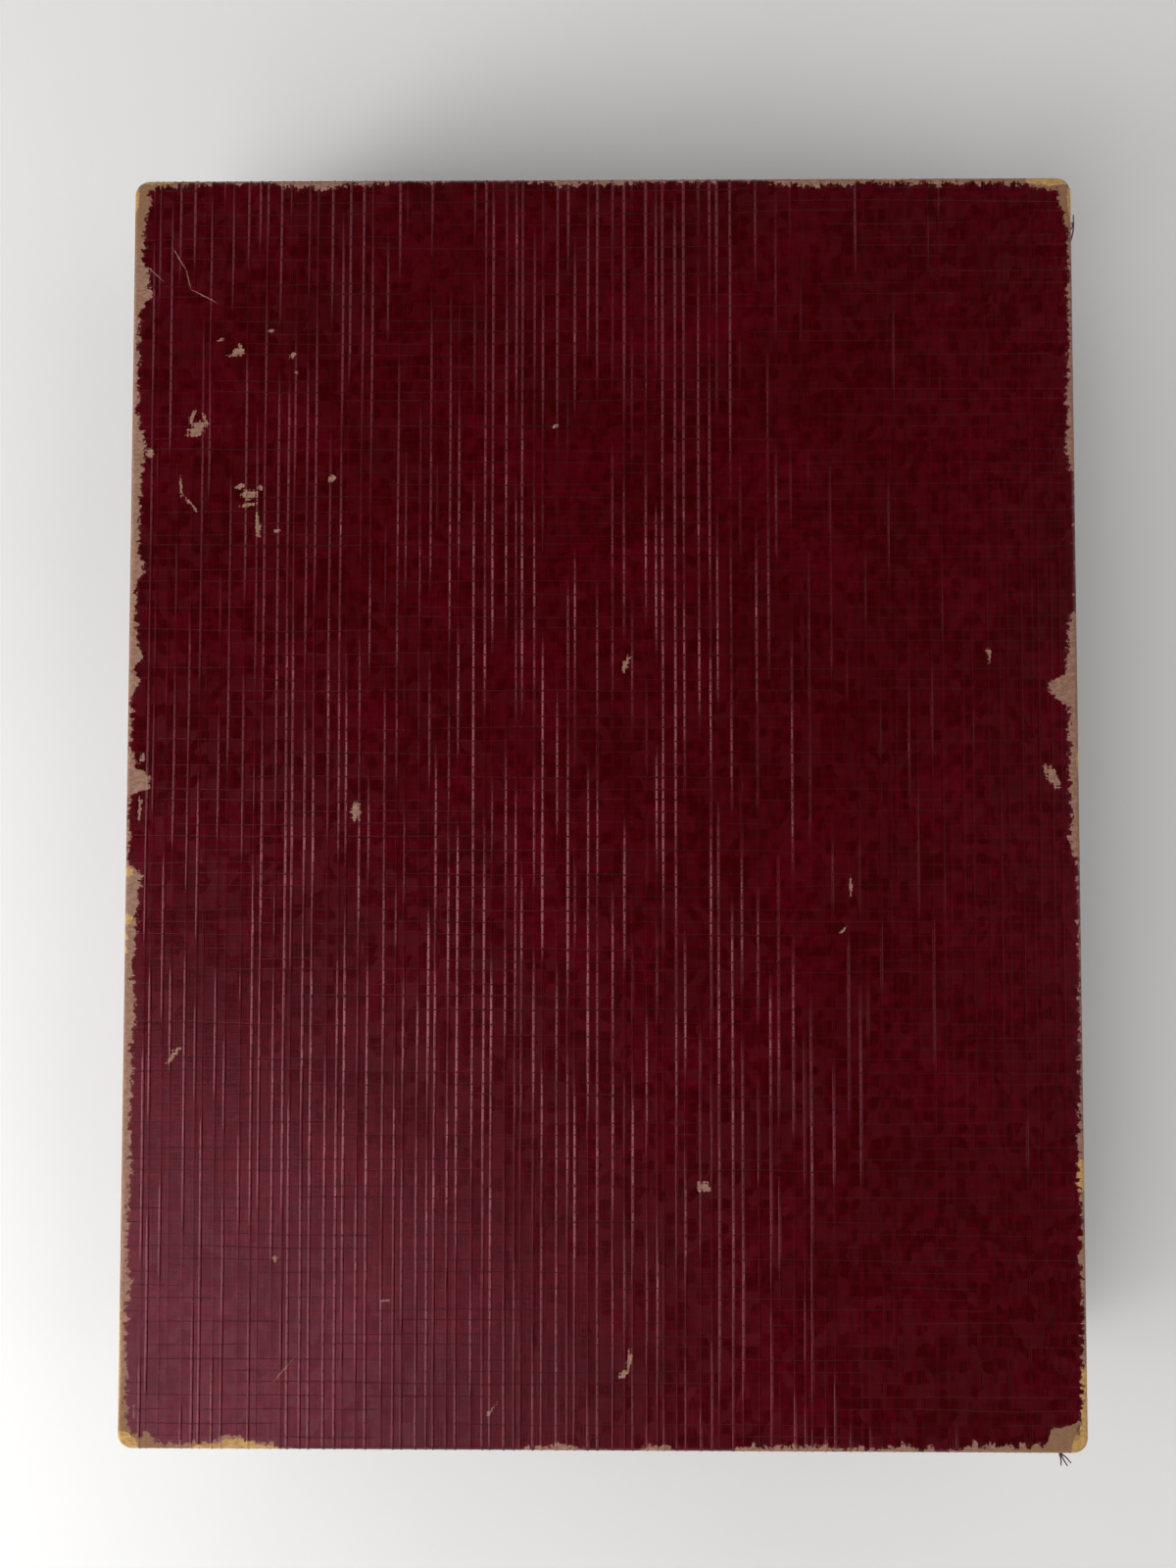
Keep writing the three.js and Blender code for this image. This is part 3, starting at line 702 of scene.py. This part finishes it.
# Scuffs on the panel: centre x, y, half length, half width in millimetres, and turn in degrees
SCUFFS = [
    (-69.4, 86.1, 1.1, 0.8, 20),
    (-69.2, 87.4, 0.9, 0.25, 100),
    (-70.7, 85.6, 0.8, 0.2, 200),
    (-76.9, 71.4, 2.2, 1.1, 30),
    (-78.0, 73.6, 1.5, 0.35, 70),
    (-75.6, 73.2, 1.4, 0.3, 110),
    (-86.1, 66.6, 0.9, 0.8, 0),
    (-80.0, 60.0, 1.9, 0.25, 95),
    (-78.1, 56.8, 1.8, 0.25, 130),
    (-66.8, 58.6, 1.5, 0.9, 0),
    (-67.4, 56.6, 1.7, 0.35, 10),
    (-65.3, 52.8, 2.6, 0.4, 95),
    (-51.3, 61.8, 0.9, 0.6, 45),
    (-59.0, 85.5, 0.8, 0.4, 40),
    (-46.2, -1.6, 1.7, 0.9, 85),
    (-80.4, -47.6, 1.6, 0.4, 50),
    (-79.4, -46.2, 0.9, 0.3, 20),
    (-60.7, -84.7, 0.6, 0.5, 0),
    (5.1, -103.2, 2.1, 0.4, 80),
    (4.2, -105.6, 1.1, 0.5, 40),
    (19.1, -71.3, 1.3, 1.0, 140),
    (73.0, 27.9, 1.4, 0.4, 95),
    (84.6, 4.8, 2.4, 0.9, 115),
    (46.8, -15.4, 1.6, 0.3, 90),
    (45.3, -23.7, 0.8, 0.3, 40),
    (4.6, 26.1, 1.6, 0.5, 75),
    (-20.4, -112.3, 1.9, 0.25, 52),
    (-40.2, -92.3, 0.8, 0.2, 0),
    (-8.8, 71.7, 0.5, 0.3, 0),
    (-86.6, 8.4, 0.9, 0.4, 90),
    (-87.0, -1.0, 2.0, 0.3, 90),
    (-72.9, 88.6, 0.6, 0.3, 30),
    (-63.1, 90.4, 0.5, 0.3, 0),
    (-58.1, 82.3, 0.5, 0.3, 0),
    (-61.6, 51.7, 0.6, 0.3, 0),
    (-68.8, 60.2, 0.9, 0.4, 10),
    (-64.9, 60.0, 0.5, 0.4, 90),
]

# Fine cracks in the varnish: from x, y to x, y
CRACKS = [
    (-82.3, 106.6, -79.6, 102.2),
    (-79.6, 102.2, -78.6, 98.4),
    (-78.6, 98.4, -73.5, 95.7),
    (-87.1, 102.8, -83.9, 99.9),
    (-61.0, -107.5, -57.0, -103.0),
]


def patches(paper, place, table, ragged):
    """Distance from the nearest patch of a table as a share of its reach, with ragged edges."""
    noise_colour = paper.node(
        "ShaderNodeTexNoise", {"Vector": place, "Scale": 1.3, "Detail": 4, "Roughness": 0.7}
    ).outputs[1]
    inputs = {0: noise_colour, 1: (0.5, 0.5, 0.5)}
    centred = paper.node("ShaderNodeVectorMath", inputs, operation="SUBTRACT")
    inputs = {0: centred.outputs[0], 1: (ragged, ragged, 0), 2: place}
    pushed = paper.node("ShaderNodeVectorMath", inputs, operation="MULTIPLY_ADD").outputs[0]
    nearest = 9
    for x, y, length, width, turn in table:
        inputs = {
            0: pushed,
            "Location": (x, y, 0),
            "Rotation": (0, 0, math.radians(turn)),
            "Scale": (length, width, 200),
        }
        local = paper.node("ShaderNodeMapping", inputs, vector_type="TEXTURE").outputs[0]
        reach = paper.node("ShaderNodeVectorMath", {0: local}, operation="LENGTH").outputs[1]
        nearest = paper.math("MINIMUM", reach, nearest)
    return nearest


def crack_table():
    """The cracks as long thin patches."""
    table = []
    for x0, y0, x1, y1 in CRACKS:
        length = math.hypot(x1 - x0, y1 - y0)
        turn = math.degrees(math.atan2(y1 - y0, x1 - x0))
        table.append(((x0 + x1) / 2, (y0 + y1) / 2, 0.62 * length, 0.14, turn))
    return table


def crests(paper, x, y, z, high):
    """1 on the crest of a rib that stands at its full height, on the panel or on a wall."""
    start = 0.55 * RIB_HEIGHT / MM
    full = 0.92 * RIB_HEIGHT / MM

    def face(value, limit):
        sunk = limit / MM - RIB_HEIGHT / MM
        return paper.grade(value, sunk + start, sunk + full)

    return paper.most(
        face(z, high.z),
        face(paper.math("ABSOLUTE", x), high.x),
        face(paper.math("ABSOLUTE", y), high.y),
    )


def worn_edges(paper, place, x, y, z, low, high):
    """How far inside the lid's rubbed border a point lies, in millimetres."""
    left = paper.math("SUBTRACT", x, low.x / MM)
    right = paper.math("SUBTRACT", high.x / MM, x)
    foot = paper.math("SUBTRACT", y, low.y / MM)
    head = paper.math("SUBTRACT", high.y / MM, y)
    panel = (high.z - RIB_HEIGHT) / MM
    below = paper.math("SUBTRACT", panel, z)
    drop = paper.math("MAXIMUM", below, 0)
    rim = paper.math("SUBTRACT", z, low.z / MM)
    corner = paper.total(paper.least(left, right), paper.least(foot, head))

    ragged = paper.grade(paper.grain(place, 1.3, 4, 0.65), 0.25, 0.75, -0.65, 0.65)
    waves = paper.grade(paper.grain(place, 0.12, 2), 0.3, 0.7, -0.4, 0.4)
    side_teeth = paper.grade(paper.steps(y, SIDE_TOOTH), 0, 1, -0.3, 0.3)
    end_teeth = paper.grade(paper.steps(x, END_TOOTH), 0, 1, -0.45, 0.35)

    def inside(width, distance, *teeth):
        depth = paper.math("SUBTRACT", width, paper.total(distance, drop))
        return paper.total(depth, ragged, *teeth)

    sides = (low.y / MM, high.y / MM)
    ends = (low.x / MM, high.x / MM)
    rubbed_corner = paper.math("SUBTRACT", LID_CORNER_RUB, corner)
    upright = paper.total(rubbed_corner, paper.product(waves, 2), ragged)
    return paper.most(
        inside(paper.width(y, *sides, WORN_LEFT), left, side_teeth),
        inside(paper.width(y, *sides, WORN_RIGHT), right, side_teeth),
        inside(paper.width(x, *ends, WORN_HEAD), head, end_teeth),
        inside(paper.width(x, *ends, WORN_FOOT), foot, end_teeth),
        upright,
        paper.total(paper.math("SUBTRACT", LID_RIM_RUB, rim), ragged, waves),
    )


def tray_wear(paper, place, x, y, z, low, high):
    """The same for the tray, which the lid keeps from harm but for its corners, foot and rim."""
    across = paper.math("SUBTRACT", high.x / MM, paper.math("ABSOLUTE", x))
    along = paper.math("SUBTRACT", high.y / MM, paper.math("ABSOLUTE", y))
    corner = paper.total(across, along)
    ragged = paper.grade(paper.grain(place, 1.3, 4, 0.65), 0.25, 0.75, -0.6, 0.6)
    waves = paper.grade(paper.grain(place, 0.12, 2), 0.3, 0.7, -0.7, 0.7)
    foot = paper.math("SUBTRACT", z, low.z / MM)
    rim = paper.math("SUBTRACT", high.z / MM, z)
    walls = paper.least(across, along)
    return paper.most(
        paper.total(paper.math("SUBTRACT", TRAY_CORNER_RUB, corner), ragged, waves),
        paper.total(paper.math("SUBTRACT", TRAY_FOOT_RUB, paper.total(foot, walls)), ragged, waves),
        paper.total(paper.math("SUBTRACT", TRAY_RIM_RUB, paper.total(rim, walls)), ragged, waves),
    )


def maroon_paper(name, node, on_lid):
    """Varnished maroon box paper: woven-looking embossing, rubbed crests lightened further by a
    painted highlight, worn edges and scuffs.
    """
    low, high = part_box(node)
    paper = Finish(name)
    place, x, y, z = paper.place()
    upright = paper.facing()

    # Along and across the ribs, on whichever face a point lies
    along = paper.total(y, z)
    across = paper.total(x, paper.product(z, upright[0]))

    # The colour under the varnish: dark squarish cells between ribs and ruled lines
    inputs = {0: paper.product(across, CELLS_ACROSS), 1: paper.product(along, CELLS_ALONG)}
    grid = paper.node("ShaderNodeCombineXYZ", inputs)
    cell_reach, cells = paper.cells(grid.outputs[0], 0.7)
    mottle = paper.grain(paper.stretch(place, 0.55, 0.45, 0.5), 1, 4, 0.6)
    clouds = paper.grain(place, 0.05, 3)
    threads = paper.grain(paper.stretch(place, 3.0, 0.1, 3.0), 1, 2)
    picks = paper.grain(paper.stretch(place, 0.12, 2.6, 2.6), 1, 2)
    dark_cell = paper.product(paper.grade(cell_reach, 0.5, 0.3), paper.grade(cells, 0.35, 0.6))
    patch = paper.total(paper.product(dark_cell, -0.3), mottle, paper.product(clouds, 0.7))
    colour = paper.blend(paper.grade(patch, 0.42, 1.12), DARK_MAROON, MAROON)
    colour = paper.blend(paper.grade(paper.total(clouds, mottle), 0.95, 1.4, 0, 0.7), colour, PLUM)
    colour = paper.shade(colour, paper.grade(paper.total(threads, picks), 0.7, 1.3), 0.14)

    # Fine ruled lines across the ribs, which break off and start again
    bend = paper.grade(paper.grain(paper.stretch(place, 0.02, 0.3, 0.3)), 0, 1, -0.7, 0.7)
    ruled = paper.rules(paper.total(along, bend), RULED_APART)
    present = paper.grade(paper.grain(paper.stretch(place, 0.04, 0.3, 0.1)), 0.4, 0.58)
    line = paper.product(paper.grade(ruled, 0.05, 0.015), present)
    colour = paper.blend(paper.product(line, 0.5), colour, RULED_LINE)

    # Crests lightened all along by a painted highlight, and rubbed pale, most in the middle of the
    # panel, in dashes nicked like a twisted thread
    raised = high if on_lid else high + Vector((RIB_HEIGHT, RIB_HEIGHT, RIB_HEIGHT))
    crest = crests(paper, x, y, z, raised)
    middle = paper.stretch(place, 1 / 75, 1 / 95, 0.003, (0.1, 0.12, 0))
    reach = paper.node("ShaderNodeVectorMath", {0: middle}, operation="LENGTH").outputs[1]
    wanted = paper.grade(reach, 0.3, 1.25, 0.44, 0.6)
    dash = paper.total(
        paper.product(paper.grain(paper.stretch(place, 0.7, 0.16, 0.16), 1, 4, 0.75), 0.8),
        paper.product(clouds, 0.2),
    )
    rubbed = paper.grade(paper.math("SUBTRACT", dash, wanted), -0.02, 0.09)
    twist = paper.rules(paper.total(along, paper.product(across, 0.7)), 0.6, 0.7)
    nicks = paper.grade(twist, 0.06, 0.22, 0.25, 1)
    gaps = paper.grade(ruled, 0.03, 0.11)
    # Where the crests stand full height, broken at the ruled lines: carries both the painted
    # highlight and the rubbing
    crest_wear_and_highlight = paper.product(crest, gaps)
    # Painted highlight: every full crest is lightened a little in colour
    colour = paper.blend(paper.product(crest_wear_and_highlight, 0.32), colour, PAINTED_CREST_HIGHLIGHT)
    rubbed = paper.product(crest_wear_and_highlight, rubbed, nicks, 0.65)
    colour = paper.blend(rubbed, colour, RUBBED_CREST)

    # Edges and scuffs, down to the paper and in places to the board
    depth = (worn_edges if on_lid else tray_wear)(paper, place, x, y, z, low, high)
    bare = paper.grade(depth, -0.05, 0.05)
    flesh_grain = paper.grain(paper.stretch(place, 0.8, 1.6, 1.6), 1.2, 4, 0.65)
    flesh = paper.blend(paper.grade(flesh_grain, 0.35, 0.7), PAPER_FIBRE, PAPER_FIBRE_LIGHT)
    if on_lid:
        to_side = paper.math("SUBTRACT", high.x / MM, paper.math("ABSOLUTE", x))
        to_end = paper.math("SUBTRACT", high.y / MM, paper.math("ABSOLUTE", y))
        grubby = paper.grade(paper.total(to_side, to_end), 20, 7, 0, 0.7)
        flesh = paper.blend(grubby, flesh, GRUBBY_TAPE)
        board = paper.grade(patches(paper, place, BARE_BOARD, 1.2), 1.02, 0.96)
        straw = paper.blend(paper.grade(flesh_grain, 0.3, 0.7), STRAW_DARK, STRAW)
        flesh = paper.blend(board, flesh, straw)
        panel = paper.grade(z, high.z / MM - 0.6, high.z / MM - 0.4)
        weave = paper.grade(paper.total(threads, picks), 0.8, 1.2, -0.35, 0.35)
        scuff = paper.grade(paper.total(patches(paper, place, SCUFFS, 1.6), weave), 1.0, 0.85)
        crack = paper.grade(patches(paper, place, crack_table(), 0.5), 1.0, 0.6)
        scuff = paper.product(paper.most(scuff, paper.product(crack, 0.75)), panel)
        bare = paper.most(bare, scuff)
    fringe = paper.grade(depth, -0.6, 0)
    colour = paper.blend(paper.product(fringe, 0.25), colour, FRINGE)
    colour = paper.blend(bare, colour, flesh)

    gloss = paper.grade(paper.total(cells, mottle, threads, clouds), 1.3, 2.5, DULLED, SMOOTH)
    crossed = paper.product(paper.grade(ruled, 0.07, 0.01), paper.grade(present, 0, 1, 0.12, 0.45))
    dull = paper.most(bare, paper.product(rubbed, 0.5), crossed)
    roughness = paper.grade(dull, 0, 1, gloss, GONE)

    skin = paper.relief(paper.total(threads, picks, paper.product(mottle, 0.6)), 0.03, 0.55)
    skin = paper.relief(paper.product(line, -1), 0.05, 0.35, skin)
    skin = paper.relief(paper.total(paper.product(crest, nicks), flesh_grain), 0.03, 0.5, skin)
    return paper.finish(colour, roughness, skin, Specular_IOR_Level=0.31, Specular_Tint=VARNISH)


def strawboard(name):
    """Raw yellow-grey board with straw flecks."""
    board = Finish(name)
    place, *_ = board.place()
    felt = board.grain(place, 1.6, 5, 0.65)
    flecks = board.grade(board.grain(board.stretch(place, 1.2, 5, 1.2), 1.3, 2), 0.62, 0.72)
    colour = board.blend(board.grade(felt, 0.3, 0.7), seen(158, 126, 78), seen(190, 160, 108))
    colour = board.blend(board.product(flecks, 0.5), colour, seen(120, 88, 52))
    return board.finish(colour, 0.92, board.relief(felt, 0.12, 0.7), Specular_IOR_Level=0.3)


def plain_paper(name, fibres, dark, light):
    """Uncoated paper, toned by age, whose fibres show this strongly."""
    sheet = Finish(name)
    place, *_ = sheet.place()
    age = sheet.grain(place, 0.03, 3)
    fibre = sheet.grain(place, 2.4, 4, 0.6)
    colour = sheet.blend(sheet.grade(age, 0.3, 0.7), dark, light)
    colour = sheet.shade(colour, sheet.grade(fibre, 0.3, 0.7), fibres)
    return sheet.finish(colour, 0.88, sheet.relief(fibre, 0.05, 0.5), Specular_IOR_Level=0.3)


def leathercloth(name):
    """Black bookcloth embossed with a pebbled leather grain."""
    cloth = Finish(name)
    place, *_ = cloth.place()
    bent = cloth.grain(place, 0.8, 2)
    pebbles = cloth.node(
        "ShaderNodeTexVoronoi",
        {"Vector": place, "Scale": 1.1, "Randomness": 0.9},
        feature="SMOOTH_F1",
    ).outputs["Distance"]
    grain = cloth.grade(cloth.total(pebbles, cloth.product(bent, 0.4)), 0.2, 0.9)
    colour = cloth.blend(grain, seen(34, 30, 28), seen(20, 17, 16))
    roughness = cloth.grade(grain, 0, 1, 0.38, 0.6)
    normal = cloth.relief(cloth.product(grain, -1), 0.16, 0.8)
    return cloth.finish(colour, roughness, normal, Specular_IOR_Level=0.45)


def page_edges(name):
    """Leaves pressed together, with their edges stained red."""
    pages = Finish(name)
    place, *_ = pages.place()
    leaves = pages.grain(pages.stretch(place, 0.03, 0.03, 9), 1, 3, 0.6)
    stain = pages.grain(pages.stretch(place, 0.3, 0.3, 1.5), 0.4, 3)
    colour = pages.blend(pages.grade(stain, 0.3, 0.7), seen(126, 30, 30), seen(158, 52, 44))
    colour = pages.shade(colour, pages.grade(leaves, 0.3, 0.7), 0.25)
    return pages.finish(colour, 0.6, pages.relief(leaves, 0.12, 0.8), Specular_IOR_Level=0.4)


def loose_thread(name):
    """Thread dyed by the paper it frayed from."""
    thread = Finish(name)
    place, *_ = thread.place()
    colour = thread.blend(thread.grain(place, 2), seen(54, 10, 14), seen(96, 40, 38))
    return thread.finish(colour, 0.8, Specular_IOR_Level=0.3)


# Millimetres from one stripe of the headbands to the next of its colour, and between threads
STRIPE_PAIR = 1.6
THREAD_APART = 0.32


def headband_thread(name):
    """Cotton in two colours, wound over a cord."""
    band = Finish(name)
    _, _, y, z = band.place()
    stripes = band.math("SINE", band.product(z, 2 * math.pi / STRIPE_PAIR))
    turns = band.product(z, 2 * math.pi / THREAD_APART)
    winding = band.math("SINE", band.total(turns, band.product(y, 3)))
    colour = band.blend(band.grade(stripes, -0.2, 0.2), seen(214, 200, 168), seen(122, 30, 34))
    return band.finish(colour, 0.7, band.relief(winding, 0.08, 0.8), Specular_IOR_Level=0.3)


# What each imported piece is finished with


def dress(nodes, material):
    for node in nodes:
        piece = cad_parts[node]
        piece.data.materials.clear()
        piece.data.materials.append(material)


def dress_box_and_book():
    board = strawboard("strawboard")
    tape = plain_paper("corner_tape", 0.12, seen(96, 64, 52), seen(116, 82, 64))
    dress(["lid_board", "tray_board"], board)
    dress(["bible_front_board", "bible_back_board", "bible_spine_inlay"], board)
    dress([f"{box}_corner_tape_{i}" for box in ("lid", "tray") for i in range(1, 5)], tape)
    buff = plain_paper("bottom_sheet", 0.1, seen(170, 152, 118), seen(190, 174, 140))
    dress(["tray_bottom_sheet"], buff)
    dress(["bible_text_block"], page_edges("page_edges"))
    ivory = plain_paper("endpaper", 0.05, seen(222, 208, 176), seen(232, 220, 194))
    dress(["bible_front_endpaper", "bible_back_endpaper", "bible_spine_lining"], ivory)
    dress(["bible_case_covering"], leathercloth("leathercloth"))
    dress(["bible_headband", "bible_tailband"], headband_thread("headband_thread"))


# The table, the light and the camera


def table():
    deselect_all()
    bpy.ops.mesh.primitive_plane_add(size=8, location=(0, 0, 0))
    top = bpy.context.active_object
    top.name = "table_top"
    surface = Finish("table_white")
    place, *_ = surface.place()
    mottle = surface.grain(place, 0.02, 2)
    colour = surface.blend(mottle, seen(222, 222, 221), seen(226, 226, 225))
    top.data.materials.append(surface.finish(colour, 0.7, Specular_IOR_Level=0.2))


# The windows round the box: place and width in metres, and power
LAMPS = {
    "window": ((-0.41, -0.09, 0.2), 0.18, 0.8),
    "low_window": ((-0.73, -0.43, 0.36), 0.32, 2.0),
    "sky_window": ((-0.43, -0.56, 0.84), 0.6, 4.8),
    "far_window": ((0.8, -0.02, 0.8), 0.6, 1.1),
}


def lamp(name, place, size, power):
    """A soft square lamp that faces the middle of the box's foot."""
    light = bpy.data.lights.new(name, "AREA")
    light.shape = "SQUARE"
    light.size = size
    light.energy = power
    holder = bpy.data.objects.new(name, light)
    bpy.context.scene.collection.objects.link(holder)
    holder.location = place
    holder.rotation_euler = (-Vector(place)).to_track_quat("-Z", "Y").to_euler()


# The colour of the light from the room's walls
WARM_WALLS = (1, 0.985, 0.97, 1)

# How bright the room is by height: 0 at the horizon, 1 overhead
ROOM = [(0.0, 0.9), (0.3, 1.54), (0.52, 1.4), (0.62, 0.08), (0.85, 0.02)]


def room_light():
    """Light from all round and little from overhead, where someone leans over the table."""
    world = bpy.data.worlds.new("room")
    bpy.context.scene.world = world
    world.use_nodes = True
    nodes = world.node_tree.nodes
    links = world.node_tree.links
    nodes.clear()
    direction = nodes.new("ShaderNodeTexCoord")
    parts = nodes.new("ShaderNodeSeparateXYZ")
    level = nodes.new("ShaderNodeValToRGB")
    stops = level.color_ramp.elements
    for height, _ in ROOM[1:-1]:
        stops.new(height)
    for stop, (height, strength) in zip(stops, ROOM):
        stop.position = height
        stop.color = (strength, strength, strength, 1)
    background = nodes.new("ShaderNodeBackground")
    output = nodes.new("ShaderNodeOutputWorld")
    links.new(direction.outputs["Generated"], parts.inputs[0])
    links.new(parts.outputs["Z"], level.inputs[0])
    links.new(level.outputs[0], background.inputs["Strength"])
    background.inputs["Color"].default_value = WARM_WALLS
    links.new(background.outputs[0], output.inputs[0])


# The camera: millimetres of sensor and lens, its distance from the lid, the point on the lid
# that it faces, and the angles of its turn
SENSOR = 36
FOCAL_LENGTH = 27.05
DISTANCE = 221.6 * MM
AIM = (-2.5 * MM, 3.6 * MM)
TILT = math.radians(2.02)
LEAN = math.radians(0.48)
TURN = math.radians(0.04)


def camera():
    """A phone held over the lid, a little below its middle and tilted towards the head."""
    lens = bpy.data.cameras.new("phone")
    lens.sensor_width = SENSOR
    lens.lens = FOCAL_LENGTH
    lens.clip_start = 0.01
    holder = bpy.data.objects.new("phone", lens)
    bpy.context.scene.collection.objects.link(holder)
    lid_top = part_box("lid_wrap")[1].z
    sideways = Matrix.Rotation(TURN, 3, "Z") @ Matrix.Rotation(LEAN, 3, "Y")
    turn = sideways @ Matrix.Rotation(TILT, 3, "X")
    view = turn @ Vector((0, 0, -1))
    holder.location = Vector((*AIM, lid_top)) - view * DISTANCE
    holder.rotation_euler = turn.to_euler()
    bpy.context.scene.camera = holder


camera()
table()
room_light()
for name, (place, size, power) in LAMPS.items():
    lamp(name, place, size, power)

dress_box_and_book()
covering = lid_covering()
covering.data.materials.append(maroon_paper("lid_paper", "lid_wrap", True))
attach(covering, "lid")
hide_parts("lid_wrap")
strip = tray_covering()
strip.data.materials.clear()
strip.data.materials.append(maroon_paper("tray_paper", "tray_wrap", False))
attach(strip, "tray")
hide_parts("tray_wrap")
threads = frayed_threads()
threads.data.materials.append(loose_thread("loose_thread"))
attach(threads, "lid")

bpy.context.scene.view_settings.view_transform = "Standard"
